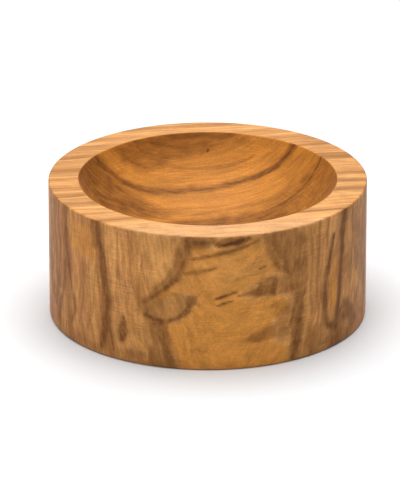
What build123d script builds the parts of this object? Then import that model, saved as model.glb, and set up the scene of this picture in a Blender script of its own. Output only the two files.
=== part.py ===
"""A pinch bowl for salt or spices, turned from one block of olive wood.

The bowl is a single piece, as it comes off the lathe: a straight round wall, a broad flat rim
and a deep dish sunk into the top. The wood under the dish is left thick, which gives so small
a bowl its weight. Each sharp corner is broken by sanding, and the foot a little more than the
rim, so that it doesn't chip or scratch the table.

The origin is the middle of the foot. +Z points up, and the wood's fibres run along X, so the
wall shows end grain at its +X and -X sides and long grain at its front and back.
Sizes are in millimetres and angles in degrees.
"""

from build123d import *
import math
import os

# The block as it is turned round
outer_diameter = 90.0
height = 40.0

# The dish: how much rim stays round it, how deep it goes, and how steeply its wall climbs
# where it meets the rim. A level floor would be 0 degrees and an upright wall 90.
rim_width = 8.5
dish_depth = 22.0
mouth_slope = 72.0

# The curve of the dish's wall, which runs out smoothly into the wider curve of its floor
wall_curve_radius = 24.0

# Sanded corners
outer_rim_easing = 0.6
inner_rim_easing = 0.5
foot_easing = 1.0

# How far the dish's cutting tool stands above the rim, so that it leaves no skin there
tool_clearance = 5.0

outer_radius = outer_diameter / 2
mouth_radius = outer_radius - rim_width
floor_level = height - dish_depth


def dish_curves():
    """Centre and radius of the wall's arc and of the floor's arc, and the angle where they meet.

    The wall's arc ends at the rim's inner edge with mouth_slope, so its centre lies one wall
    radius inward from that edge, square to the slope. The floor's arc is centred on the bowl's
    axis and touches floor_level. The two arcs share a tangent where they meet, so the distance
    between their centres is the difference of their radii; solved for the floor's radius, with
    across and drop for how far the wall's centre lies from the axis and above the floor:
    floor radius = (across^2 + drop^2 - wall radius^2) / (2 * (drop - wall radius)).
    The angle is measured from straight down and is also the dish's slope at that place.
    """
    slope = math.radians(mouth_slope)
    across = mouth_radius - wall_curve_radius * math.sin(slope)
    wall_centre_height = height + wall_curve_radius * math.cos(slope)
    drop = wall_centre_height - floor_level
    floor_curve_radius = (across**2 + drop**2 - wall_curve_radius**2) / (
        2 * (drop - wall_curve_radius)
    )
    floor_centre_height = floor_level + floor_curve_radius
    meeting_angle = math.degrees(math.atan2(across, floor_centre_height - wall_centre_height))
    wall_centre = (across, wall_centre_height)
    floor_centre = (0, floor_centre_height)
    return wall_centre, floor_centre, floor_curve_radius, meeting_angle


def turned_block():
    """The round block: half of its section, turned about the axis."""
    with BuildPart() as block:
        with BuildSketch(Plane.XZ):
            with BuildLine():
                Polyline(
                    (0, 0),
                    (outer_radius, 0),
                    (outer_radius, height),
                    (0, height),
                    close=True,
                )
            make_face()
        revolve(axis=Axis.Z)
    return block.part


def dish_tool():
    """The shape that the gouge clears: the dish's two arcs, carried on up past the rim."""
    wall_centre, floor_centre, floor_curve_radius, meeting_angle = dish_curves()
    straight_down = 270
    tool_top = height + tool_clearance
    with BuildPart() as tool:
        with BuildSketch(Plane.XZ):
            with BuildLine():
                floor_arc = CenterArc(
                    floor_centre,
                    floor_curve_radius,
                    start_angle=straight_down,
                    arc_size=meeting_angle,
                )
                wall_arc = CenterArc(
                    wall_centre,
                    wall_curve_radius,
                    start_angle=straight_down + meeting_angle,
                    arc_size=mouth_slope - meeting_angle,
                )
                Polyline(
                    wall_arc @ 1,
                    (mouth_radius, tool_top),
                    (0, tool_top),
                    floor_arc @ 0,
                )
            make_face()
        revolve(axis=Axis.Z)
    return tool.part


def edges_at(shape, radius, level):
    """The round edges of that radius at that height."""
    slack = 1e-3
    return [
        edge
        for edge in shape.edges().filter_by(GeomType.CIRCLE)
        if abs(edge.radius - radius) < slack and abs(edge.center().Z - level) < slack
    ]


def pinch_bowl():
    """The block with its dish cut and its three corners eased."""
    bowl = turned_block() - dish_tool()
    bowl = fillet(edges_at(bowl, mouth_radius, height), inner_rim_easing)
    bowl = fillet(edges_at(bowl, outer_radius, height), outer_rim_easing)
    bowl = fillet(edges_at(bowl, outer_radius, 0), foot_easing)
    bowl.label = "bowl"
    return bowl


os.makedirs("parts", exist_ok=True)
bowl = pinch_bowl()
export_step(bowl, "parts/bowl.step")

wall_centre, floor_centre, floor_curve_radius, meeting_angle = dish_curves()
print("wood under the dish, mm:", floor_level)
print("floor's curve radius, mm:", round(floor_curve_radius, 2))
print("slope where the dish's two curves meet, degrees:", round(meeting_angle, 1))
print("volume, cubic cm:", round(bowl.volume / 1000, 1))
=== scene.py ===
# %% [markdown]
# # A pinch bowl turned from olive wood
#
# The object is one block of olive wood, turned on a lathe: a straight wall, a broad flat rim
# and a deep dish. There is no second piece, so nearly all of its character is in the wood.
# This lesson makes the surface as one closed skin, works out how the tree's growth rings pass
# through it, and then paints the wood with shader nodes that read those rings.
#
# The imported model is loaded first. It fixes the size and the place of everything that follows.

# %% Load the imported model
import math

import bpy
import numpy as np
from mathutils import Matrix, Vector


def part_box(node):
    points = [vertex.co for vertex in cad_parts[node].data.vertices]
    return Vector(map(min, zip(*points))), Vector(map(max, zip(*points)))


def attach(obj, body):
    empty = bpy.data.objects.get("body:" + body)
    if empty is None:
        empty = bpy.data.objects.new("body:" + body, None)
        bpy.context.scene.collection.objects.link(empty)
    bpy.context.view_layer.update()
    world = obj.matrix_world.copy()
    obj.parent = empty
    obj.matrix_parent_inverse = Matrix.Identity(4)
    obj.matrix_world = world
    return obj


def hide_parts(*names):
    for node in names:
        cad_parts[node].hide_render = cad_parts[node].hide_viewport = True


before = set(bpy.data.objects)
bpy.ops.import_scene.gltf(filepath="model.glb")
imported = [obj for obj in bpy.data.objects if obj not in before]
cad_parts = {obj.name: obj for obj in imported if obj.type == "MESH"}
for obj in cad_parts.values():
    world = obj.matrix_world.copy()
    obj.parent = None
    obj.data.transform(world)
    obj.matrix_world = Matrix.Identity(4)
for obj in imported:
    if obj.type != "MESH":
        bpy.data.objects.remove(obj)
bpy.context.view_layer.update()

MM = 0.001
foot_corner, rim_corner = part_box("bowl")
outer_radius = (rim_corner[0] - foot_corner[0]) / 2 / MM
height = (rim_corner[2] - foot_corner[2]) / MM
print("bowl from the packed model, mm: radius", round(outer_radius, 2), "height", round(height, 2))

# %% [markdown]
# ## The camera
#
# The bowl is seen from the front, 21 degrees above the table, through a long lens. A long lens
# keeps the near and far side of the rim nearly the same width. Two facts from the picture place
# the camera: how far away it is, and where the middle of the rim falls in the frame. That is a
# little right of the frame's middle and well above it, so the camera points left of it and down.

# %% Camera
frame_width, frame_height = 400, 489
sensor = 36.0
sight_elevation = math.radians(21.1)
sight_distance = 1503 * MM
focal_pixels = 5322
rim_middle_pixel = (208.25, 177.7)

rim_middle = Vector((0, 0, height * MM))
towards_camera = Vector((0, -math.cos(sight_elevation), math.sin(sight_elevation)))

camera_data = bpy.data.cameras.new("long_lens")
camera_data.sensor_width = sensor
camera_data.lens = focal_pixels * sensor / frame_height
camera = bpy.data.objects.new("long_lens", camera_data)
bpy.context.collection.objects.link(camera)
camera.location = rim_middle + towards_camera * sight_distance

turn_left = math.atan((rim_middle_pixel[0] - frame_width / 2) / focal_pixels)
turn_down = math.atan((frame_height / 2 - rim_middle_pixel[1]) / focal_pixels)
camera.rotation_euler = (math.pi / 2 - sight_elevation - turn_down, 0, turn_left)
bpy.context.scene.camera = camera
print("lens, mm:", round(camera_data.lens, 1))

# %% [markdown]
# ## The table and the light
#
# The bowl stands on a pale seamless ground under soft studio light. One large panel overhead
# makes the rim the brightest part. A second at the front left fills the wall. A third stands
# behind the bowl, where it lights the ground and lays a faint sheen on the rim. The pale ground
# throws light back up. A small lamp would give hard shadows and a bright spot, which sanded and
# oiled wood doesn't show here, so all three panels are large.

# %% Ground, sky and lamps
def soft_panel(name, place, aim, size, power):
    """A square area lamp of that size in metres, at a place, facing the point aim."""
    lamp = bpy.data.lights.new(name, "AREA")
    lamp.shape = "SQUARE"
    lamp.size = size
    lamp.energy = power
    panel = bpy.data.objects.new(name, lamp)
    bpy.context.collection.objects.link(panel)
    panel.location = place
    panel.rotation_euler = (Vector(aim) - Vector(place)).to_track_quat("-Z", "Y").to_euler()


def plain_ground(half_width, tone):
    """One square face at table height, in a plain pale matt finish."""
    low, high = -half_width, half_width
    corners = [(low, low, 0), (high, low, 0), (high, high, 0), (low, high, 0)]
    mesh = bpy.data.meshes.new("ground")
    mesh.from_pydata(corners, [], [(0, 1, 2, 3)])
    ground = bpy.data.objects.new("ground", mesh)
    bpy.context.collection.objects.link(ground)
    finish = bpy.data.materials.new("pale_ground")
    finish.use_nodes = True
    shader = finish.node_tree.nodes["Principled BSDF"]
    shader.inputs["Base Color"].default_value = (*tone, 1)
    shader.inputs["Roughness"].default_value = 0.9
    shader.inputs["Specular IOR Level"].default_value = 0.2
    mesh.materials.append(finish)
    return ground


plain_ground(6.0, (0.71, 0.72, 0.73))
soft_panel("overhead", place=(-0.01, 0.05, 0.85), aim=(0, 0, 0.03), size=0.8, power=10.7)
soft_panel("front", place=(-0.65, -1.1, 0.42), aim=(0, 0, 0.02), size=0.8, power=3.3)
soft_panel("backdrop", place=(0, 1.5, 0.65), aim=(0, 0, 0.03), size=1.1, power=6.0)

sky = bpy.data.worlds.new("studio")
sky.use_nodes = True
sky_light = sky.node_tree.nodes["Background"]
sky_light.inputs["Color"].default_value = (1, 1, 1, 1)
sky_light.inputs["Strength"].default_value = 0.28
bpy.context.scene.world = sky
bpy.context.scene.view_settings.view_transform = "Standard"

# %% [markdown]
# ## The bowl's section
#
# A turned shape is known by its section: the line from the middle of the foot, out, up the
# wall, across the rim and down the dish to its middle. The dish is two arcs that share a
# tangent, a wide one for the floor and a tighter one for the wall. Every corner is eased by
# sanding, and those small roundings catch the light as thin bright lines, so they are real
# geometry here.

# %% Sizes of the section
rim_width = 8.5
dish_depth = 22.0
mouth_slope = math.radians(72)
wall_curve_radius = 24.0
outer_rim_easing = 0.5
inner_rim_easing = 0.3
foot_easing = 1.0

mouth_radius = outer_radius - rim_width
floor_level = height - dish_depth

# How many points each stretch of the section has, both its ends counted
foot_points, wall_points, rim_points = 16, 74, 14
easing_points, mouth_easing_points = 6, 5
dish_wall_points, dish_floor_points = 26, 40
print("mouth radius, mm:", round(mouth_radius, 2), "wood under the dish:", round(floor_level, 2))

# %% [markdown]
# Two arcs run smoothly into each other if both their centres and the place where they meet lie
# on one line. That fixes the floor's radius, and the place of the small rounding at the mouth.

# %% Arcs of the dish
up, down = math.pi / 2, -math.pi / 2


def arc(centre, radius, start, end, count):
    """Points on a circle: centre + radius * (cos, sin) of evenly spaced angles in radians."""
    angle = np.linspace(start, end, count)
    return np.column_stack([centre[0] + radius * np.cos(angle), centre[1] + radius * np.sin(angle)])


def dish_arcs():
    """The dish's two arcs, from the rim inwards, and the corner's rounding before them.

    The wall's centre lies one wall radius from the rim's inner edge, square to the slope there.
    The floor's centre is on the axis, and its radius makes the two arcs share a tangent:
    (across^2 + drop^2 - wall^2) / (2 * (drop - wall)). The rounding's centre lies one easing
    below the rim and one easing outside the wall's circle.
    """
    across = mouth_radius - wall_curve_radius * math.sin(mouth_slope)
    centre_height = height + wall_curve_radius * math.cos(mouth_slope)
    drop = centre_height - floor_level
    floor_radius = (across**2 + drop**2 - wall_curve_radius**2) / (2 * (drop - wall_curve_radius))
    floor_centre = floor_level + floor_radius
    meeting = math.atan2(across, floor_centre - centre_height)

    easing_height = height - inner_rim_easing
    reach = wall_curve_radius + inner_rim_easing
    easing_across = across + math.sqrt(reach**2 - (centre_height - easing_height) ** 2)
    towards_wall = math.atan2(centre_height - easing_height, across - easing_across)
    easing_centre = (easing_across, easing_height)
    rounding = arc(easing_centre, inner_rim_easing, up, towards_wall, mouth_easing_points)

    wall_centre = (across, centre_height)
    wall_start, wall_end = towards_wall - math.pi, down + meeting
    wall = arc(wall_centre, wall_curve_radius, wall_start, wall_end, dish_wall_points)
    floor = arc((0, floor_centre), floor_radius, wall_end, down, dish_floor_points)
    return rounding, wall, floor


rounding, dish_wall, dish_floor = dish_arcs()
print("the dish's two arcs meet at radius and height, mm:", dish_floor[0].round(2))

# %% [markdown]
# The whole section is a row of (radius, height) points, put together from its stretches. Each
# stretch starts where the one before it ends, so its first point is left out.

# %% The whole section
foot_centre = (outer_radius - foot_easing, foot_easing)
rim_centre = (outer_radius - outer_rim_easing, height - outer_rim_easing)
wall_foot = (outer_radius, foot_easing)
wall_top = (outer_radius, height - outer_rim_easing)
rim_edge = (outer_radius - outer_rim_easing, height)
stretches = [
    np.linspace((0, 0), (outer_radius - foot_easing, 0), foot_points),
    arc(foot_centre, foot_easing, down, 0, easing_points),
    np.linspace(wall_foot, wall_top, wall_points),
    arc(rim_centre, outer_rim_easing, 0, up, easing_points),
    np.linspace(rim_edge, rounding[0], rim_points),
    rounding,
    dish_wall,
    dish_floor,
]
section = np.concatenate([stretches[0]] + [stretch[1:] for stretch in stretches[1:]])
# The dish ends on the axis itself, without the cosine's rounding error
section[-1] = (0, floor_level)
print("section points:", len(section))

# %% [markdown]
# ## The skin
#
# The section is carried round the axis. Columns stand closer together at the front, where the
# figure of the wood is richest, and wider apart at the back. Each column's angle is counted
# from the front, with the right-hand side positive. The two ends of the section meet the axis
# in one point each, and a fan of triangles closes the skin there.

# %% Grid of the skin
columns = 560
crowding = 0.36

# Even angles start at the back, and taking crowding * sin(angle) draws them to the front
even = np.linspace(-np.pi, np.pi, columns + 1)
around = even - crowding * np.sin(even)
inner = section[1:-1]
rows = len(inner)
radius_of, height_of = inner[:, 0][:, None], inner[:, 1][:, None]
ring_angles = around[:-1][None, :]

right, back = radius_of * np.sin(ring_angles), -radius_of * np.cos(ring_angles)
skin = np.stack([right, back, height_of + 0 * ring_angles], axis=-1).reshape(-1, 3)
points = np.concatenate([skin, [[0, 0, 0]], [[0, 0, floor_level]]])
foot_pole, dish_pole = len(points) - 2, len(points) - 1

row, column = np.meshgrid(np.arange(rows - 1), np.arange(columns), indexing="ij")
row, column = row.ravel(), column.ravel()
following = (column + 1) % columns
this_row, next_row = row * columns, (row + 1) * columns
quads = np.column_stack(
    [this_row + column, this_row + following, next_row + following, next_row + column]
)
each = np.arange(columns)
after = (each + 1) % columns
foot_fan = np.column_stack([after, each, np.full(columns, foot_pole)])
last = (rows - 1) * columns
dish_fan = np.column_stack([last + each, last + after, np.full(columns, dish_pole)])
print("faces:", len(quads) + 2 * columns, "triangles:", 2 * len(quads) + 2 * columns)

# %% [markdown]
# ## Soft noise
#
# No two fingers' widths of wood are alike, so edges and tones need an irregular wobble. Blender
# has noise as a shader node, but a wobble that moves a streak's edge is wanted before the
# shader runs. Here is the same idea in numpy: random values on a lattice, blended in between.
# Two such clouds are kept for the streaks: the wobble of their edges, and the blotches in them.

# %% Clouds
lattice_steps = 32
layer_shift = 5.7


def cloud(place, lengths, seed, layers=2):
    """Irregular soft blotches between about -1 and 1, as long as lengths along each axis.

    Random values stand on a lattice that repeats after lattice_steps each way. A point takes the
    mean of its cell's eight corners, weighted by t * t * (3 - 2 * t) of its place between them.
    Each further layer adds blotches of half the size and half the strength, moved along a little.
    """
    values = np.random.default_rng(seed).uniform(-1, 1, [lattice_steps] * 3)
    total = np.zeros(len(place))
    for layer in range(layers):
        cell = place / np.asarray(lengths) * 2**layer + layer_shift * layer
        low = np.floor(cell).astype(int)
        near = cell - low
        near = near * near * (3 - 2 * near)
        for corner in np.ndindex(2, 2, 2):
            at = (low + corner) % lattice_steps
            weight = np.where(corner, near, 1 - near).prod(axis=1)
            total += weight * values[at[:, 0], at[:, 1], at[:, 2]] / 2**layer
    return total


wobble = 0.55 * cloud(points, lengths=(4.5, 4.5, 2.2), seed=21)
wobble += 0.35 * cloud(points, lengths=(1.3, 1.3, 1.1), seed=22)
blotches = 0.7 * cloud(points, lengths=(3.5, 3.5, 2.5), seed=23)
print("wobble from", round(float(wobble.min()), 2), "to", round(float(wobble.max()), 2))

# %% [markdown]
# ## Growth rings
#
# A tree adds one layer of wood a year, and the layers pass through the whole block. So the
# stripes on the rim, the curved lines in the dish and the upright streaks on the wall are the
# same layers, cut in three directions. If every surface were painted by itself, the lines would
# break at the edges. Instead, one number is worked out for every point of the block, the
# distance across the layers, and all surfaces are painted by it.
#
# Here the fibres run from left to right, and on the way they turn a little to the back and rise
# a little. The layers stand upright. Towards the foot they lean outwards, away from the middle
# of the bowl. Below the rim they curl at the left and the right end of the block, which gives
# the wall's sides their wavy lines.

# %% Distance across the growth rings
def smooth(low, high, value):
    """0 below low, 1 above high, and an S curve between: t * t * (3 - 2 * t)."""
    t = np.clip((value - low) / (high - low), 0, 1)
    return t * t * (3 - 2 * t)


wave_spread = 0.6


def waves(place, lengths, seed, count=7):
    """A gentle, irregular swell between about -1 and 1.

    It is a sum of a few sine waves, sin(place . k + phase), divided by the root of their count.
    Each wave vector k is a normal draw * 2 pi / length * wave_spread along x, y and z.
    """
    random = np.random.default_rng(seed)
    vectors = random.normal(size=(count, 3)) * 2 * np.pi / np.asarray(lengths, float) * wave_spread
    phases = random.uniform(0, 2 * np.pi, count)
    return np.sin(place @ vectors.T + phases).sum(axis=1) / math.sqrt(count)


fibre_turn, fibre_rise = 0.15, 0.15
lean_front, lean_back, lean_reach = 0.09, -0.22, 18
curl_starts, curl_full, curl_depth, curl_strength = 28, 42, 10, 1.7


def ring_distance(place):
    """Distance across the layers in mm: y - fibre_turn * x + lean * depth + swell + curl.

    The depth is counted down from the rim, and the lean goes from lean_front to lean_back over
    lean_reach either side of the middle. The swell is two slow waves. The curl is a cloud that
    grows from nothing at curl_starts to curl_strength at curl_full, left and right of the
    middle, and over the first curl_depth below the rim.
    """
    x, y, z = place.T
    depth = height - z
    lean = lean_front + (lean_back - lean_front) * smooth(-lean_reach, lean_reach, y)
    swell = 0.55 * waves(place, lengths=(60, 26, 30), seed=3)
    swell += 0.22 * waves(place, lengths=(30, 12, 14), seed=8)
    near_ends = smooth(curl_starts, curl_full, np.abs(x)) * smooth(0, curl_depth, depth)
    curl = near_ends * cloud(place, lengths=(11, 9, 13), seed=5)
    return y - fibre_turn * x + lean * depth + swell + curl_strength * curl


ring = ring_distance(points)
print("growth rings pass through", round(float(np.ptp(ring)), 1), "mm of wood")

# %% [markdown]
# ## Heartwood streaks and clear patches
#
# Olive wood is known for its dark, smoky streaks. They mostly follow the growth rings, but they
# wander, fork and stop as they like, and on this bowl's front they edge a patch of clear golden
# wood like an island. A noise texture alone would never put them where they are, so they are
# laid one by one, as a painter would: each is a path of a few points with a width at each point.
#
# A point on the wall is given by its angle from the front in degrees, with the right-hand side
# positive, and its height above the table in millimetres. Widths are half widths.

# %% Places on the wall
x, y, z = points.T
angle = np.degrees(np.arctan2(x, -y))
radius = np.hypot(x, y)
wall_place = np.column_stack([np.radians(angle) * outer_radius, z])

# The wall counts in to where its eased corners end, and fades out just under the rim's face
corner_reach, rim_fade = 1.1, 0.35
on_wall = (radius > outer_radius - corner_reach) * smooth(height, height - rim_fade, z)
print("points on the wall:", int((on_wall > 0).sum()))


def to_wall(path):
    """A path's angles in degrees as distances round the wall, in mm."""
    path = np.array(path, float)
    path[:, 0] = np.radians(path[:, 0]) * outer_radius
    return path


# %% [markdown]
# A streak needs two measures. Along a stroke it is how far a point lies from the path, against
# the width of the stroke there. In a shaded area it is how far the point lies inside the
# outline. Both are worked out for all points of the mesh at once, one straight piece of the
# path or the outline after the other.

# %% Inside a stroke or a patch
far_outside = -9.0


def along_piece(place, start, piece):
    """How far along a straight piece the nearest point lies, from 0 to 1, and how far away it is.

    The first is the point's shadow on the piece: (place - start) . piece / piece . piece.
    """
    t = np.clip((place - start) @ piece / (piece @ piece), 0, 1)
    return t, np.linalg.norm(place - start - t[:, None] * piece, axis=1)


def inside_stroke(place, path):
    """1 on the path's middle line, 0 at its edge and below 0 outside: 1 - distance / half width.

    The half width is blended between the two ends of a piece. The largest value counts.
    """
    best = np.full(len(place), far_outside)
    for start, end in zip(path[:-1], path[1:]):
        t, distance = along_piece(place, start[:2], end[:2] - start[:2])
        best = np.maximum(best, 1 - distance / (start[2] + t * (end[2] - start[2])))
    return best


def inside_patch(place, corners):
    """Distance in mm from the outline of a patch, positive inside it.

    A point is inside if a line from it to the right crosses the outline an odd number of times.
    A level side spans no point's height, so it is skipped.
    """
    nearest = np.full(len(place), np.inf)
    odd = np.zeros(len(place), bool)
    for start, end in zip(corners, np.roll(corners, -1, axis=0)):
        piece = end - start
        nearest = np.minimum(nearest, along_piece(place, start, piece)[1])
        if piece[1] == 0:
            continue
        spans = (start[1] > place[:, 1]) != (end[1] > place[:, 1])
        crossing = start[0] + (place[:, 1] - start[1]) * piece[0] / piece[1]
        odd ^= spans & (place[:, 0] < crossing)
    return np.where(odd, nearest, -nearest)


square = np.array([(0, 0), (1, 0), (1, 1), (0, 1)], float)
square_middle = np.array([(0.5, 0.5)])
print("middle of a 1 mm square lies inside by, mm:", float(inside_patch(square_middle, square)[0]))

# %% [markdown]
# The front of the wall follows the picture: a main streak on each side, and between them the
# island, with a leaf at its left, a triangle at its right and a dark eye under the rim. The back
# can't be seen, so it has a few long streaks of the same kind.

# %% The streaks of the wall
# (darkness, [(angle, height, half width), ...]) round the front from left to right, then the back
wall_streaks = {
    "left edge, hook": (0.62, [(-79, 24, 0.6), (-78, 17, 0.9), (-75, 11, 1), (-71, 8, 0.8)]),
    "left contour, outer": (0.62, [
        (-77, 38, 0.6), (-75.5, 31, 0.7), (-73.5, 24, 0.6), (-75, 17, 0.8), (-73, 12, 0.6),
    ]),
    "left edge, upper": (0.58, [
        (-74, 40, 1), (-72, 30, 0.8), (-70, 22, 1.2), (-69, 14, 1.6), (-72, 8, 1),
    ]),
    "left contour": (0.62, [
        (-67.5, 41, 0.5), (-68.5, 33, 0.6), (-66, 26, 0.5), (-67.5, 19, 0.6), (-66.5, 14, 0.5),
    ]),
    "beside left ring": (0.62, [(-62, 24, 0.8), (-63, 16, 1), (-66, 10, 1.2), (-69, 4, 1.6)]),
    "left ring": (0.66, [
        (-61.5, 40, 1.3), (-61.5, 30, 1.3), (-60, 25, 0.9), (-58.5, 19, 0.6), (-56.5, 14, 0.7),
        (-55.5, 10, 1), (-58, 6, 0.8),
    ]),
    "upright line, left": (0.42, [(-50.5, 26, 0.3), (-50, 18, 0.4), (-51.5, 11, 0.4), (-53, 7, 0.3)]),
    "foot shade, left": (0.4, [(-53, 3, 1.8), (-45, 1.5, 1.8)]),
    "thin line, left": (0.35, [(-47, 22, 0.4), (-46.5, 14, 0.5), (-48, 6, 0.7)]),
    "upright line, second left": (0.42, [
        (-43.5, 27, 0.35), (-44.5, 20, 0.4), (-45.5, 12, 0.35), (-48.5, 6, 0.4),
    ]),
    "main left streak": (0.88, [
        (-43.2, 40.5, 1), (-42.4, 35, 1), (-40.4, 31, 1), (-39.6, 26, 1.1), (-38.6, 20, 1.2),
        (-37.9, 16, 1.3), (-38.6, 11, 1.5), (-39.8, 6, 1.3), (-41, 3, 0.9),
    ]),
    "fork at its foot": (0.75, [(-38, 10, 0.6), (-36.5, 6.5, 0.8), (-35.5, 3, 0.6)]),
    "upright line, left tan": (0.38, [
        (-34, 38, 0.3), (-33.5, 28, 0.4), (-34.5, 20, 0.35), (-34, 12, 0.3),
    ]),
    "small blob": (0.95, [(-31.4, 13.5, 0.7), (-31.2, 10, 1.5), (-31.8, 6.5, 1.1)]),
    "foot shade, left middle": (0.45, [(-33, 2.5, 1.8), (-28, 2, 1.6), (-24, 3, 1.2)]),
    "upright line, right tan": (0.26, [
        (-28, 40, 0.3), (-28.5, 30, 0.4), (-27.5, 20, 0.35), (-28, 11, 0.3),
    ]),
    "upright line, near the leaf": (0.42, [
        (-23.5, 33, 0.3), (-25, 24, 0.4), (-25.2, 15, 0.4), (-24.5, 7, 0.3),
    ]),
    "leaf, left edge": (0.5, [(-22.4, 19.6, 0.5), (-21.6, 15.5, 0.7)]),
    "below the leaf": (0.75, [(-18.5, 14, 1.2), (-16.8, 10, 2), (-15, 5.5, 2.3), (-12.8, 0, 2.4)]),
    "leaf, lower edge": (0.8, [
        (-22.3, 15.4, 0.7), (-18.5, 14.3, 0.9), (-14.5, 14.2, 0.8), (-10.5, 15.4, 0.8), (-7.5, 17.5, 0.9),
    ]),
    "leaf, second line": (0.35, [(-15, 14.8, 0.3), (-13, 18, 0.4), (-12.4, 22.6, 0.3)]),
    "island edge, upper": (0.76, [
        (-6.3, 40, 2), (-7.2, 35, 1.6), (-9.2, 30.5, 1.5), (-11.6, 27, 1.3), (-14.5, 24.5, 1.1),
        (-18.5, 21.8, 1), (-22.3, 19.6, 0.9),
    ]),
    "leaf, inner line": (0.45, [(-12, 15.2, 0.3), (-9.8, 18, 0.45), (-9.2, 22.4, 0.3)]),
    "faint contour": (0.32, [(-8.5, 15, 0.3), (-6.8, 12, 0.4), (-5.8, 8, 0.35), (-5.5, 4, 0.3)]),
    "squiggle": (0.35, [(-5.5, 5.6, 0.3), (-3.8, 6.6, 0.4), (-2, 5.2, 0.3), (0, 6.4, 0.3)]),
    "short line": (0.65, [(-9.5, 28.8, 0.5), (-4.5, 29.3, 0.75), (0, 30, 0.5), (3, 30.7, 0.3)]),
    "below the eye": (0.76, [
        (-7, 33.1, 0.45), (-2, 33.6, 0.65), (3, 34.6, 0.65), (8.5, 35.6, 0.75), (13.5, 36.6, 0.45),
        (18, 38, 0.4),
    ]),
    "fleck, middle": (0.95, [(2.6, 21.3, 0.25), (5.2, 22, 0.55), (10, 23.2, 0.3)]),
    "fleck, middle, lower": (0.8, [(3.2, 19.3, 0.2), (5.6, 20, 0.5), (9.2, 20.8, 0.2)]),
    "dark eye": (1.6, [(3.8, 37.1, 0.3), (7, 37.5, 0.8), (10, 38, 0.85), (12.8, 38.7, 0.4)]),
    "triangle's tip": (0.7, [(10.8, 22, 0.3), (13.5, 22.4, 0.7), (17, 23, 1.1)]),
    "soft dash": (0.3, [(10, 27, 0.4), (16, 28.2, 0.5), (22, 28.8, 0.3)]),
    "fleck, upper right": (0.75, [(18.4, 29.5, 0.2), (20.3, 29.9, 0.38), (21.6, 30.3, 0.2)]),
    "island edge, right": (0.55, [(20.5, 40, 1.3), (22, 35.5, 1.5), (24.5, 31.5, 1.4)]),
    "bridge to the right band": (0.7, [(24.5, 30.5, 1.2), (28, 28.5, 1.4), (31, 26.5, 1.5)]),
    "right upright line": (0.48, [(39.5, 38, 0.4), (40.5, 30, 0.5), (39.5, 21, 0.4), (40, 13, 0.4)]),
    "right upright line, second": (0.5, [
        (43.8, 40, 0.4), (43.5, 32, 0.5), (42.5, 23, 0.5), (43, 14, 0.4),
    ]),
    "right upright line, third": (0.5, [(48.5, 40, 0.5), (47.5, 33, 0.5), (46.5, 27, 0.4)]),
    "second right streak": (0.8, [
        (51.2, 34, 0.6), (49.4, 29, 1.1), (47.6, 23, 1.3), (46.6, 17, 1.6), (46.6, 11, 1.6),
        (48.4, 7.5, 1.5), (51, 6, 1.1), (54, 8.5, 0.9), (56.5, 11, 0.7),
    ]),
    "main right streak": (0.92, [
        (58.2, 40.5, 1.8), (56.9, 35, 1.5), (56.5, 27, 1.3), (55.3, 20, 0.9), (54.7, 15, 0.8),
        (53.4, 10, 1.1), (52.2, 5, 1),
    ]),
    "far right, upper": (0.58, [(64, 39, 1.2), (64.5, 30, 0.8), (63, 22, 0.7)]),
    "far right, lower": (0.58, [(73, 30, 0.6), (74, 20, 0.9), (77, 12, 1)]),
    "back, left": (0.8, [
        (-150, 41, 1.3), (-147, 30, 1), (-151, 20, 1.2), (-146, 10, 1.5), (-148, -1, 1.8),
    ]),
    "back, left, thin": (0.5, [(-128, 40, 0.8), (-126, 25, 0.7), (-129, 12, 0.9), (-125, 2, 1.2)]),
    "back, far left": (0.6, [(-105, 41, 0.9), (-108, 27, 1), (-104, 14, 1.2), (-107, -1, 1.4)]),
    "back, right, thin": (0.5, [(107, 38, 0.6), (109, 27, 0.9), (106, 15, 0.9), (110, 4, 1.2)]),
    "back, right": (0.85, [
        (118, 40.5, 1.2), (120, 32, 1), (117, 22, 1.2), (121, 12, 1.5), (119, 0, 1.8),
    ]),
    "back, long edge": (0.75, [
        (140, 41, 1.6), (144, 31, 1.2), (153, 23, 1), (160, 15, 1.1), (157, 6, 1.5), (160, -1, 1.6),
    ]),
    "back, upper line": (0.5, [(151, 35, 0.4), (160, 36.4, 0.6), (170, 36.8, 0.4)]),
    "back, line": (0.6, [(163, 29, 0.4), (171, 30.2, 0.6), (178, 32, 0.3)]),
}

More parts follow.
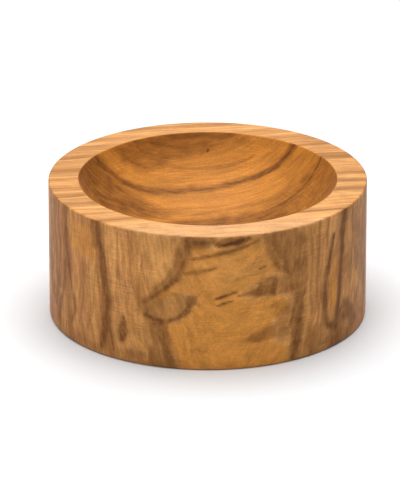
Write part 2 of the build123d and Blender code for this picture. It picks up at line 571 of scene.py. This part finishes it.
# (darkness, softness of the edge in mm, outline of (angle, height)), in the same order
wall_shades = {
    "left of the left ring": (0.14, 1.6, [(-78, 41), (-63, 41), (-63, 20), (-72, 6), (-80, 6)]),
    "left foot": (0.3, 1.2, [(-60, 9), (-56, 10), (-58, 5), (-52, 2), (-46, 3), (-46, -1), (-66, -1)]),
    "beside the main left streak": (0.5, 0.8, [
        (-46.6, 41), (-42.5, 41), (-42, 33), (-43, 30.5), (-45.6, 31.5),
    ]),
    "foot below the blob": (0.56, 1.4, [(-31, 4.5), (-26, 5.5), (-22, 4), (-22, -1), (-34, -1)]),
    "below the leaf": (0.58, 0.9, [
        (-21.4, 14.2), (-14.3, 14.2), (-12.8, 8), (-11, -1), (-22.6, -1), (-20.8, 7),
    ]),
    "leaf": (0.4, 0.5, [
        (-22.2, 19.3), (-14, 23), (-4, 23), (-6, 18.5), (-9.5, 15.4), (-15, 14.4), (-22, 15.2),
    ]),
    "above the leaf": (0.6, 1.2, [
        (-9.5, 41), (-4.5, 41), (-5.6, 36), (-8.2, 30.8), (-11.2, 27), (-15, 24.6), (-22.3, 20.4),
        (-19.5, 24), (-14.5, 28), (-12, 34),
    ]),
    "leaf's dark end": (0.74, 0.9, [(-8.2, 16.8), (-7.8, 22.8), (-2.6, 22.8), (-4, 20), (-6.5, 17)]),
    "under the rim": (0.56, 0.9, [(-7, 41), (3, 41), (4, 37.2), (-2, 35.8), (-7, 36.4)]),
    "beside the eye": (0.78, 0.7, [(-6.5, 38.9), (3, 39.2), (3.5, 37.4), (-1, 37.2), (-5, 37.6)]),
    "dark eye": (0.86, 0.8, [
        (1.5, 36.8), (6, 36.3), (11, 36.9), (16, 38.8), (15, 40), (7, 39.6), (2.5, 38.6),
    ]),
    "lower right smear": (0.55, 1.1, [(12, 8.4), (16, 10.6), (22, 12.6), (26, 13.2), (25, 8), (18, 7.6)]),
    "right triangle": (0.7, 0.8, [
        (13.2, 22.3), (17.5, 24.9), (21, 26.4), (26, 26.6), (25.6, 20.4), (21, 20.6), (16, 21.4),
    ]),
    "between triangle and band": (0.56, 0.9, [(25, 20.4), (31, 20.8), (30, 27.5), (24.5, 27)]),
    "grey mottle": (0.5, 1.6, [(24, 19), (31, 18), (31, 8), (28, 7), (24.5, 8)]),
    "right band, upper": (0.58, 1.4, [
        (21.3, 41), (33, 41), (38.5, 36), (38.5, 24), (37, 21), (31, 20.4), (27, 21), (28, 26.6),
        (28.6, 28.4), (25, 31), (22.6, 36),
    ]),
    "right band, lower": (0.72, 1.2, [
        (30.8, 21), (37, 21), (36.4, 12), (35.5, 5), (35.5, -1), (29.8, -1), (31.3, 7), (29.5, 12),
        (31.2, 16),
    ]),
    "left of the right streaks": (0.42, 1.2, [(38, 8), (42, 9.5), (47, 9), (50, 3), (46, -1), (38, -1)]),
    "right foot": (0.62, 1.4, [
        (50, 8), (54, 10.5), (57, 13), (61, 13), (66, 9), (68, 5), (64, 1), (56, -1), (47, -1), (46, 4),
    ]),
    "beside the main right streak": (0.42, 0.9, [
        (57, 26), (60.5, 26.5), (63, 28), (63.5, 14), (61.5, 14.5), (60.5, 20.5), (57, 21),
    ]),
    "far right": (0.42, 1.6, [(62, 38), (78, 40), (80, 12), (72, 14), (65, 22), (63, 28)]),
    "right, low slope": (0.36, 1.2, [(65, 16), (72, 11), (80, 9), (80, 2), (70, 5), (66, 10)]),
    "back foot": (0.4, 1.4, [(-166, 11), (-152, 10), (-150, -1), (-170, -1)]),
    "back smoke": (0.45, 1.4, [(122, 41), (134, 41), (129, 28), (132, 16), (124, 6), (121, 20)]),
}
print("strokes for the wall:", len(wall_streaks), "shaded areas:", len(wall_shades))

# %% [markdown]
# A stroke with a hard edge would look like paint. In wood a streak has a dark core and a wider,
# fainter halo, both with an uneven edge, and a shaded area fades out and is patchy inside. Where
# two overlap, the darker one counts, so crossings don't turn black.

# %% Lay the streaks on the wall
core_share, core_fade, core_wander = 0.55, (-0.4, 0.9), 0.45
halo_share, halo_fade, halo_wander = 0.45, (-2.2, 0.6), 0.6


def stroke_body(place, path):
    """How dark a stroke is across its width: a share of its core and a share of its halo.

    Each is an S curve over inside_stroke + wander * wobble.
    """
    inside = inside_stroke(place, path)
    core = smooth(*core_fade, inside + core_wander * wobble)
    halo = smooth(*halo_fade, inside + halo_wander * wobble)
    return core_share * core + halo_share * halo


def shade_body(place, corners, darkness, softness, wander, patchiness):
    """darkness * smooth(edge + wander * wobble) * (1 + patchiness * blotches).

    edge is the distance inside the outline, and the S curve runs over softness either side.
    """
    edge = inside_patch(place, corners)
    body = smooth(-softness, softness, edge + wander * wobble)
    return darkness * body * (1 + patchiness * blotches)


heartwood_and_painted_shade = np.zeros(len(points))
for darkness, path in wall_streaks.values():
    heartwood_and_painted_shade = np.maximum(heartwood_and_painted_shade, darkness * stroke_body(wall_place, to_wall(path)))
for darkness, softness, corners in wall_shades.values():
    area = shade_body(wall_place, to_wall(corners), darkness, softness, wander=0.9, patchiness=0.35)
    heartwood_and_painted_shade = np.maximum(heartwood_and_painted_shade, area)
heartwood_and_painted_shade *= on_wall
clearly_dark = 0.3
dark_share = (heartwood_and_painted_shade > clearly_dark).sum() / (on_wall > 0).sum()
print("share of the wall's points under heartwood:", round(float(dark_share), 2))

# %% [markdown]
# The dish shows the same heartwood where its curve cuts down through the rings. Its streaks are
# given by their place seen from above: to the right of the middle, to the back of it, and the
# half width, all in millimetres. The near half is hidden behind the rim in the picture, so its
# arcs only carry on the order of those that can be seen. Its shaded areas at the left, the near
# side and the right, and a light one over the whole dish, are partly heartwood and partly painted
# shade of the hollow.

# %% The streaks of the dish
# (darkness, [(right, back, half width), ...]) from the back of the dish to the front
dish_streaks = {
    "pin knot": (1.3, [(-0.1, 34.3, 0.24), (0.2, 34.3, 0.24)]),
    "brown far edge": (0.5, [
        (-26, 27, 1.2), (-18, 31, 1.8), (-10, 33.3, 2), (-2, 35, 1.2), (6, 35.4, 0.8), (12, 34, 0.5),
    ]),
    "arc behind it": (0.5, [(-12, 30, 0.5), (-4, 30.8, 0.7), (4, 31.3, 0.6), (13, 31.2, 0.4)]),
    "far right shade": (0.4, [(18, 28.8, 1), (22, 26.5, 2), (27, 22.5, 1.4)]),
    "main arc": (0.85, [
        (-34, 17, 1.2), (-27, 19.2, 1), (-20, 20.6, 1), (-12, 23.4, 0.9), (-4, 25.6, 0.9), (3, 26.3, 0.7),
        (10, 26.9, 0.6), (18, 26.6, 0.7), (26, 26.8, 1),
    ]),
    "thin far right": (0.35, [(12, 24.2, 0.4), (20, 23.6, 0.6), (29, 22.8, 0.5)]),
    "arc in front": (0.5, [
        (-22, 12, 0.6), (-16, 15, 1.1), (-8, 17.3, 1), (0, 18.7, 0.9), (8, 19.2, 1), (14, 19, 1.3),
        (20, 17.8, 0.8),
    ]),
    "right arc": (0.8, [(17, 15, 0.6), (22, 14.6, 0.8), (27, 15.3, 1), (31, 16.4, 0.9), (34, 17.2, 0.6)]),
    "left hollow": (0.5, [
        (-36, 10, 1), (-32, 8.5, 1.4), (-28, 12, 1.2), (-24, 15.2, 1.7), (-21, 17.4, 1),
    ]),
    "right hook": (0.7, [(28, 6, 0.5), (30, 7.4, 0.8), (32, 9.8, 0.6), (33.2, 12, 0.5)]),
    "left edge": (0.45, [(-36, 5, 1.2), (-33, 4, 1.4), (-31, 2, 1)]),
    "hidden arc": (0.5, [(-36, -9, 1), (-20, -4, 0.8), (0, -1.5, 0.7), (20, 0, 0.8), (36, -1, 1)]),
    "nearer arc": (0.65, [
        (-33, -18, 1), (-15, -15, 0.8), (5, -13, 0.7), (22, -11.5, 0.8), (35, -12, 0.9),
    ]),
    "nearest arc": (0.5, [(-24, -29, 0.8), (-5, -26.5, 0.7), (12, -24.5, 0.6), (30, -23, 0.8)]),
}

# (darkness, softness of the edge in mm, outline of (right, back)), in the same order
dish_shades = {
    "far edge": (0.62, 1.5, [
        (-28, 24), (-22, 32), (-10, 38), (6, 38), (10, 35), (0, 34), (-10, 30.5), (-20, 25),
    ]),
    "far right": (0.3, 2.5, [(14, 33), (20, 25), (32, 22), (34, 26), (26, 34)]),
    # left, near, right and whole dish: partly heartwood, partly painted shade inside the hollow
    "left": (0.72, 3, [(-39, 16), (-30, 20), (-21, 19), (-9, 17.5), (-12, 13), (-24, 6), (-39, -4)]),
    "near": (0.78, 3.5, [(-20, 9), (-8, 15.8), (5, 18.2), (20, 16), (30, 4), (15, 2), (0, 5), (-14, 1)]),
    "right": (0.6, 4, [(12, 17), (24, 22), (34, 18), (39, 8), (39, -8), (30, -4), (20, 5)]),
    "whole dish": (0.25, 1, [
        (-27, -27), (-38, 0), (-27, 27), (0, 38), (27, 27), (38, 0), (27, -27), (0, -38),
    ]),
}
print("strokes for the dish:", len(dish_streaks), "shaded areas:", len(dish_shades))

# %% [markdown]
# They are laid in the same way as on the wall, and a little past the mouth, so that no gap shows
# at its edge.

# %% Lay the streaks in the dish
mouth_overlap, floor_overlap = 0.2, 0.5
in_dish = (radius < mouth_radius + mouth_overlap) & (z > floor_level - floor_overlap)
seen_from_above = points[:, :2]
for darkness, path in dish_streaks.values():
    stroke = darkness * stroke_body(seen_from_above, np.array(path, float))
    heartwood_and_painted_shade = np.maximum(heartwood_and_painted_shade, stroke * in_dish)
# The dish's shaded areas carry painted shade of the hollow as well as heartwood
for darkness, softness, corners in dish_shades.values():
    corners = np.array(corners, float)
    area = shade_body(seen_from_above, corners, darkness, softness, wander=0.6, patchiness=0.18)
    heartwood_and_painted_shade = np.maximum(heartwood_and_painted_shade, area * in_dish)
# This share counts the painted shade in the dish as well as heartwood
dark_share = (heartwood_and_painted_shade[in_dish] > clearly_dark).mean()
print("share of the dish's points under heartwood:", round(float(dark_share), 2))

# %% [markdown]
# The clear golden wood lies inside the outline that the wall's streaks draw. A few smaller
# places are clear too, between the upright streaks. Each is a closed outline of wall points.
# Towards the rim the clear wood is a little paler. The whole dish shows the same deep gold, so
# all of it counts as clear.

# %% Clear wood
clear_patches = {
    "island": [
        (-5, 37), (-7, 34.5), (-8.5, 31), (-10.5, 28), (-14, 25), (-19, 21.5), (-17, 20.5), (-10, 22.5),
        (-4.5, 23), (-3, 20.5), (-6, 17.5), (-9.5, 14.5), (-15, 13), (-13, 8), (-10, 3), (-9, -1),
        (30, -1), (28.5, 5), (23, 8), (23.5, 14), (29.5, 16), (29, 19.5), (25, 21), (14, 20.5),
        (11.5, 22.5), (15.5, 25.5), (22, 27.5), (27, 28.5), (23.5, 32), (20.5, 36), (16.5, 38.2),
        (9, 36.8), (2, 35.6),
    ],
    "left panel": [(-59, 37), (-58, 28.5), (-45, 27.5), (-42.5, 31), (-45.5, 37.5)],
    "right sliver": [(52.5, 31), (49.5, 24), (48.6, 15), (50.5, 9), (52.6, 12), (53.6, 22)],
    "right of the main streak": [(58, 35), (60.5, 34), (59.5, 24), (57, 22)],
}
clear_softness, clear_wander = 0.7, 0.7
paler_from, paler_to, paler_share = 16, 30, 0.4
dish_clearness = 1.2

clear = np.zeros(len(points))
for corners in clear_patches.values():
    edge = inside_patch(wall_place, to_wall(corners)) + clear_wander * wobble
    clear = np.maximum(clear, smooth(-clear_softness, clear_softness, edge))
clear *= on_wall * (1 - paler_share * smooth(paler_from, paler_to, z))
clear = np.maximum(clear, dish_clearness * in_dish)
print("clear patches on the wall:", len(clear_patches))

# %% [markdown]
# ## The mesh
#
# The arrays go into one mesh. What the shader needs is stored with each point as attributes:
# its place in the tree (along the fibres, across the rings, up the rings), how dark the
# heartwood is there, with painted shade in parts of the dish, how clear the wood is, and how
# squarely the surface cuts the fibres, which is what makes end grain darker and greyer than long
# grain. A pale band crosses the near part of the rim's top face: partly sapwood, the youngest
# wood, and partly a painted sheen.

# %% Build the mesh
mesh = bpy.data.meshes.new("turned_bowl")
faces = quads.tolist() + foot_fan.tolist() + dish_fan.tolist()
mesh.from_pydata((points * MM).tolist(), [], faces)
mesh.polygons.foreach_set("use_smooth", np.ones(len(mesh.polygons), bool))
mesh.update()
bowl = bpy.data.objects.new("turned_bowl", mesh)
bpy.context.collection.objects.link(bowl)
print("points:", len(mesh.vertices), "faces:", len(mesh.polygons))

# %% Store the wood in it
normals = np.empty(len(points) * 3, np.float32)
mesh.vertex_normals.foreach_get("vector", normals)
fibre = np.array([1, fibre_turn, fibre_rise])
fibre = fibre / np.linalg.norm(fibre)
cut_square = np.abs(normals.reshape(-1, 3) @ fibre)


def store(name, values):
    """Keeps one number, or one vector, for each point of the mesh under that name."""
    kind, key = ("FLOAT", "value") if values.ndim == 1 else ("FLOAT_VECTOR", "vector")
    attribute = mesh.attributes.new(name, kind, "POINT")
    attribute.data.foreach_set(key, values.astype(np.float32).ravel())


along_fibres = points @ fibre
up_rings = z - fibre_rise * x
store("grain", np.column_stack([along_fibres, ring, up_rings]))
# Heartwood darkness, with painted shade in parts of the dish
store("heartwood_and_painted_shade", heartwood_and_painted_shade)
store("clear", clear)
long_grain, end_grain = 0.3, 0.95
store("end_grain", smooth(long_grain, end_grain, cut_square))
rim_depth, rim_overlap = 0.6, 0.3
on_rim = (z > height - rim_depth) & (radius > mouth_radius - rim_overlap)
# The pale band lies on the rim's top face only: partly sapwood, partly a painted sheen
sapwood_sheen_starts, sapwood_sheen_full = -30, -38
store("sapwood_and_painted_sheen", on_rim * smooth(sapwood_sheen_starts, sapwood_sheen_full, ring))
print("attributes:", [attribute.name for attribute in mesh.attributes])

# %% [markdown]
# ## The skin laid out flat
#
# Where a picture of the wood has to be baked, the skin is laid out flat on one square sheet.
# The rim and the dish make one disc, with each ring's distance from the dish's middle measured
# along the surface. The foot makes a smaller disc. The wall makes two strips, cut at the left
# and the right side. So a millimetre has nearly the same length all over the sheet.

# %% Places on the flat sheet
sheet = 208.0
top_disc_middle = (57.5, 57.5)
foot_disc_middle = (161.5, 47.0)
strips_left, front_strip_foot, back_strip_foot = 3, 116.0, 160.0

travelled = np.concatenate([[0], np.cumsum(np.linalg.norm(np.diff(section, axis=0), axis=1))])
whole_way = travelled[-1]
slack = 1e-6
wall_starts = int(np.argmax(inner[:, 1] >= foot_easing - slack))
wall_ends = int(np.argmax(inner[:, 1] >= height - outer_rim_easing - slack))


def on_disc(middle, turn, out, facing):
    """Sheet place in mm of a point at that angle: middle + out * (sin, facing * cos).

    out is its distance along the skin from the bowl's axis. facing is -1 for the rim and the
    dish, which are seen from above, and 1 for the foot, which is seen from below.
    """
    across, up_sheet = middle
    return np.stack([across + out * np.sin(turn), up_sheet + facing * out * np.cos(turn)], axis=-1)


def on_strip(turn, way, is_front):
    """Sheet place of a wall point: its distance round the wall from the cut, and up the wall."""
    turned_on = np.where(is_front, turn + np.pi / 2, turn % (2 * np.pi) - np.pi / 2)
    strip_foot = np.where(is_front, front_strip_foot, back_strip_foot)
    up_wall = strip_foot + way - travelled[wall_starts + 1]
    return np.stack([strips_left + turned_on * outer_radius, up_wall], axis=-1)


print("way along the whole section, mm:", round(float(whole_way), 1))

# %% [markdown]
# Each face takes its corners' places from the disc or the strip that it belongs to. A corner at
# a cut has two places, one for each face beside it, so places are kept by face and not by point.

# %% Lay the skin out flat
left, right = around[column], around[column + 1]
quad_turn = np.column_stack([left, right, right, left])
quad_way = np.column_stack([travelled[row + 1]] * 2 + [travelled[row + 2]] * 2)
is_front = np.abs(left + right)[:, None] < np.pi
is_foot, is_wall = row < wall_starts, (row >= wall_starts) & (row < wall_ends)
quad_flat = on_disc(top_disc_middle, quad_turn, whole_way - quad_way, facing=-1)
quad_flat[is_foot] = on_disc(foot_disc_middle, quad_turn, quad_way, facing=1)[is_foot]
quad_flat[is_wall] = on_strip(quad_turn, quad_way, is_front)[is_wall]
left, right, pole = around[each], around[each + 1], np.zeros(columns)
foot_out = np.array([travelled[1], travelled[1], 0])
dish_out = whole_way - np.array([travelled[-2], travelled[-2], whole_way])
foot_flat = on_disc(foot_disc_middle, np.column_stack([right, left, pole]), foot_out, facing=1)
dish_flat = on_disc(top_disc_middle, np.column_stack([left, right, pole]), dish_out, facing=-1)
flat = np.concatenate([part.reshape(-1, 2) for part in (quad_flat, foot_flat, dish_flat)]) / sheet
layout = mesh.uv_layers.new(name="OFBake")
layout.uv.foreach_set("vector", flat.astype(np.float32).ravel())
print("sheet places from", flat.min(axis=0).round(3), "to", flat.max(axis=0).round(3))

# %% [markdown]
# ## The olive wood
#
# The shader starts from the number across the rings. A colour ramp gives each layer its tone,
# dark for the thin late wood and light for the wide early wood. Noise that is stretched along
# the fibres adds the fine lines. The clear wood and the heartwood are then laid over it. All of
# it could be one image, but nodes stay sharp at any distance and can be read and changed.
#
# A node tree reads best as a list of sums. So a few short helpers come first. Each adds one
# node and hands back the socket with its result.

# %% Helpers that add a node
wood = bpy.data.materials.new("oiled_olive_wood")
wood.use_nodes = True
tree = wood.node_tree
tree.nodes.clear()


def add(kind, **settings):
    """A new node of that kind, with its settings."""
    node = tree.nodes.new(kind)
    for key, value in settings.items():
        setattr(node, key, value)
    return node


def join(source, target):
    """A link from one socket to another, or a fixed value put into the target."""
    if isinstance(source, bpy.types.NodeSocket):
        tree.links.new(source, target)
    else:
        target.default_value = source


def stored(name, output="Fac"):
    """The socket that reads an attribute of the mesh."""
    return add("ShaderNodeAttribute", attribute_name=name).outputs[output]


def calc(operation, first, second, clamp=False):
    """The result of one sum on two values, held between 0 and 1 if clamp is set."""
    node = add("ShaderNodeMath", operation=operation, use_clamp=clamp)
    join(first, node.inputs[0])
    join(second, node.inputs[1])
    return node.outputs[0]


def vector_calc(operation, vector, by):
    """The same on a vector: by is a second vector, or one number where the vector is scaled."""
    node = add("ShaderNodeVectorMath", operation=operation)
    join(vector, node.inputs[0])
    join(by, node.inputs["Scale" if operation == "SCALE" else 1])
    return node.outputs[0]


def span(value, low, high, to_low=0.0, to_high=1.0):
    """value taken from low..high to to_low..to_high along the S curve t * t * (3 - 2 * t)."""
    node = add("ShaderNodeMapRange", interpolation_type="SMOOTHSTEP")
    for part, socket in zip((value, low, high, to_low, to_high), node.inputs):
        join(part, socket)
    return node.outputs[0]


def blend(amount, first, second):
    """Two colours mixed: first * (1 - amount) + second * amount."""
    node = add("ShaderNodeMix", data_type="RGBA")
    join(amount, node.inputs["Factor"])
    join(first, node.inputs["A"])
    join(second, node.inputs["B"])
    return node.outputs["Result"]


print("material:", wood.name)

# %% [markdown]
# Marks in wood are much longer along the fibres than across them. So noise is read in the
# tree's own directions, which the mesh keeps as its grain, and each noise is given the size of
# its blotches along the fibres, across the rings and up them. Most of its values lie in the
# middle, between noise_low and noise_high. One noise is used in several places, the fine one
# for the thin fibres and the pores between them.

# %% Noise in the tree's directions
grain = stored("grain", "Vector")
noise_low, noise_high = 0.3, 0.7


def noise_at(place, sizes, detail=2.0, roughness=0.5, seed=0.0):
    """Noise at place / sizes + a shift by the seed, where sizes are those of a blotch each way."""
    scaled = vector_calc("MULTIPLY", place, [1 / size for size in sizes])
    noise = add("ShaderNodeTexNoise")
    join(vector_calc("ADD", scaled, (seed, seed * 1.7, seed * 0.6)), noise.inputs["Vector"])
    join(1.0, noise.inputs["Scale"])
    join(detail, noise.inputs["Detail"])
    join(roughness, noise.inputs["Roughness"])
    return noise.outputs["Fac"]


def swing(noise, amount):
    """Noise that swings about zero: (noise - 0.5) * amount."""
    return calc("MULTIPLY", calc("SUBTRACT", noise, 0.5), amount)


fine = noise_at(grain, (16, 0.55, 5), detail=3, roughness=0.65, seed=1.3)
print("nodes so far:", len(tree.nodes))

# %% [markdown]
# Each stop of the colour ramp is a place across the rings, in millimetres from the bowl's axis,
# and a tone from 0, a dark ring line, to 1, the lightest wood. The stops follow the order and
# the spacing of the stripes on the rim. A stop is made at its own place, because the ramp sorts
# its stops, and one that is moved past another changes its number.

# %% Ring tones
ring_reach = 52.0
ring_tones = [
    (-46.0, 0.66), (-41.0, 0.72), (-36.6, 0.50), (-33.5, 0.86), (-31.0, 0.86), (-29.0, 0.10),
    (-26.5, 0.66), (-21.0, 0.66), (-17.3, 0.72), (-15.0, 0.04), (-12.8, 0.42), (-9.8, 0.58),
    (-7.6, 0.16), (-4.2, 0.70), (-1.7, 0.12), (2.2, 0.74), (4.5, 0.42), (7.5, 0.72),
    (11.3, 0.02), (14.0, 0.20), (16.3, 0.62), (17.8, 0.30), (20.0, 0.55), (22.5, 0.00),
    (25.3, 0.55), (28.4, 0.25), (31.0, 0.45), (33.0, 0.64), (35.2, 0.36), (39.0, 0.70),
    (41.5, 0.25), (46.0, 0.60),
]

apart = add("ShaderNodeSeparateXYZ")
join(grain, apart.inputs[0])
ring_wobble = swing(noise_at(grain, (22, 4, 12), detail=3, roughness=0.55, seed=3.1), 1.1)
wobbly = calc("ADD", apart.outputs["Y"], ring_wobble)
ramp = add("ShaderNodeValToRGB")
join(calc("DIVIDE", calc("ADD", wobbly, ring_reach), 2 * ring_reach), ramp.inputs["Fac"])
stops = ramp.color_ramp.elements
while len(stops) > 1:
    stops.remove(stops[-1])
for number, (place, tone) in enumerate(ring_tones):
    fraction = (place + ring_reach) / (2 * ring_reach)
    stop = stops.new(fraction) if number else stops[0]
    stop.position = fraction
    stop.color = (tone, tone, tone, 1)
print("ring tones:", len(stops))

# %% [markdown]
# ## Colours of the wood
#
# Light wood is a warm honey colour and ring lines are a darker orange brown. Bundles of fibres
# lift or lower the tone of a layer from place to place. On end grain every pore drinks in oil,
# so there the same wood is duller, with reddish places. Clear wood is a deeper gold, and it
# hides most of the rings.

# %% Honey, tan and gold
honey = (0.77, 0.366, 0.109, 1)
# Tone of the pale band on the rim's top face: sapwood and a painted sheen
pale_sapwood_and_sheen = (0.70, 0.39, 0.19, 1)
ring_brown = (0.32, 0.122, 0.020, 1)
clear_gold = (0.65, 0.258, 0.040, 1)
end_tan = (0.47, 0.198, 0.072, 1)
end_red = (0.36, 0.120, 0.050, 1)
sapwood_and_sheen_share, tan_share, red_share, gold_share = 0.4, 0.25, 0.42, 0.78

fibre_bundles = noise_at(grain, (40, 0.9, 16), detail=3, roughness=0.6, seed=7.9)
layer_tone = calc("ADD", ramp.outputs["Color"], swing(fibre_bundles, 1.7), clamp=True)
colour = blend(layer_tone, ring_brown, honey)
# Paler near part of the rim's top face: partly sapwood, partly painted sheen
colour = blend(calc("MULTIPLY", stored("sapwood_and_painted_sheen"), sapwood_and_sheen_share), colour, pale_sapwood_and_sheen)
colour = blend(calc("MULTIPLY", stored("end_grain"), tan_share), colour, end_tan)
red_noise = noise_at(grain, (12, 5, 16), detail=2, roughness=0.5, seed=6.6)
reddish = span(red_noise, 0.42, 0.66, to_high=red_share)
colour = blend(calc("MULTIPLY", stored("end_grain"), reddish), colour, end_red)
colour = blend(calc("MULTIPLY", stored("clear"), gold_share, clamp=True), colour, clear_gold)
print("nodes so far:", len(tree.nodes))

# %% [markdown]
# The heartwood is a smoky brown that is nearly grey, and the same brown lays the painted shade
# in the dish. The mesh knows how dark it is at each point, but a real streak is frayed along the
# fibres. So fine noise is added to the darkness, and then its middle values are pushed apart.
# Fully pushed apart it looks painted on, so half of the soft version is kept.

# %% Smoky heartwood and painted shade in the dish
# Smoky brown of the heartwood, also used for the painted shade in the dish
smoky_brown_and_shade = (0.185, 0.064, 0.012, 1)

frayed = calc("ADD", stored("heartwood_and_painted_shade"), swing(fine, 0.30))
sharper = calc("MULTIPLY", calc("ADD", frayed, span(frayed, 0.06, 0.95)), 0.5)
fibre_noise = noise_at(grain, (5, 0.8, 4), detail=4, roughness=0.7, seed=5.2)
fibrous = span(fibre_noise, noise_low, noise_high, to_low=0.75, to_high=1.2)
# Heartwood brown laid over the colour; in the dish it is partly painted shade
colour = blend(calc("MULTIPLY", sharper, fibrous, clamp=True), colour, smoky_brown_and_shade)
print("nodes so far:", len(tree.nodes))

# %% [markdown]
# ## Light and dark within the wood
#
# Five things change how light the wood is and leave its colour alone: thin fibre lines, a soft
# mottle, a speckle of pores, the level marks of the turning tool and the sandpaper, which come
# and go in patches, and the near black middle of the darkest streaks. The tool marks don't
# follow the tree, so their noise is read at the bowl's own place, in metres.

# %% Shade
tool_mark_sizes = (5 * MM, 5 * MM, 0.28 * MM)

lines = span(fine, noise_low, noise_high, to_low=0.80, to_high=1.10)
mottle_noise = noise_at(grain, (9, 2.6, 5), detail=3, roughness=0.6, seed=2.2)
mottle = span(mottle_noise, noise_low, noise_high, to_low=0.86, to_high=1.08)
pore_noise = noise_at(grain, (0.7, 0.3, 0.5), detail=2, roughness=0.7, seed=4.4)
speckle = span(pore_noise, noise_low, noise_high, to_low=0.88, to_high=1.08)

object_place = add("ShaderNodeTexCoord").outputs["Object"]
marks = span(noise_at(object_place, tool_mark_sizes), 0.35, 0.72, to_low=-0.07, to_high=0.17)
patchy = span(noise_at(grain, (14, 8, 12), detail=1, roughness=0.5, seed=9.3), 0.4, 0.65)
marks = calc("MULTIPLY", marks, patchy)

deepest = span(stored("heartwood_and_painted_shade"), 0.95, 1.4, to_low=1.0, to_high=0.6)
shade = calc("MULTIPLY", calc("MULTIPLY", lines, speckle), calc("ADD", mottle, marks))
shade = calc("MULTIPLY", shade, deepest)
shaded = vector_calc("SCALE", colour, shade)
print("nodes so far:", len(tree.nodes))

# %% [markdown]
# ## An oiled finish
#
# The bowl is oiled and not varnished. So the gloss is weak and broad, a little closer on the
# dense fibres than on the pores, and the surface is very slightly uneven along the grain. A
# trace of sheen, from fibre ends too small to see, lightens the wall where it turns away.

# %% Gloss and feel
oiled = add("ShaderNodeBsdfPrincipled")
join(shaded, oiled.inputs["Base Color"])
join(span(fine, 0.2, 0.8, to_low=0.62, to_high=0.50), oiled.inputs["Roughness"])
join(0.13, oiled.inputs["Specular IOR Level"])
join(0.05, oiled.inputs["Sheen Weight"])
join(0.3, oiled.inputs["Sheen Roughness"])
bump = add("ShaderNodeBump")
join(0.25, bump.inputs["Strength"])
join(0.15 * MM, bump.inputs["Distance"])
join(fine, bump.inputs["Height"])
join(bump.outputs[0], oiled.inputs["Normal"])
surface = add("ShaderNodeOutputMaterial")
join(oiled.outputs[0], surface.inputs["Surface"])
mesh.materials.append(wood)
print("nodes in the wood:", len(tree.nodes))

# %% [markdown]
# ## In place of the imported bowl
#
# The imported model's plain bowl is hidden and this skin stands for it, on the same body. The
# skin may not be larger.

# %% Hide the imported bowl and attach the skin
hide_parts("bowl")
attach(bowl, "root")
